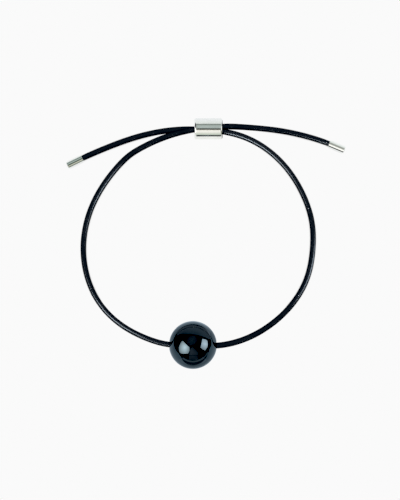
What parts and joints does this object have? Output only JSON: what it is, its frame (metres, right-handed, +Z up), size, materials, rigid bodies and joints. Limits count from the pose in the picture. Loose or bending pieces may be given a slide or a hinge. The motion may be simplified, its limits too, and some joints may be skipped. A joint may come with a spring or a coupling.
{
  "type": "cord bracelet",
  "caption": "Thin leather cord bracelet with a round polished stone bead, closed by a metal tube that slides on both strands, with capped free ends.",
  "frame": {"origin": "centre of the outline in plan, on the surface that the bracelet lies on", "axes": "+X from the left cap to the right cap, +Y from the bead to the clasp tube, +Z up from the surface"},
  "size_m": [0.0826, 0.0736, 0.014],
  "materials": {
    "leather": "gloss",
    "onyx": "polished",
    "silver": "polished"
  },
  "bodies": {
    "root": {"leather_cord": "leather", "onyx_bead": "onyx", "clasp_tube": "silver", "end_cap_left": "silver", "end_cap_right": "silver"}
  },
  "joints": []
}
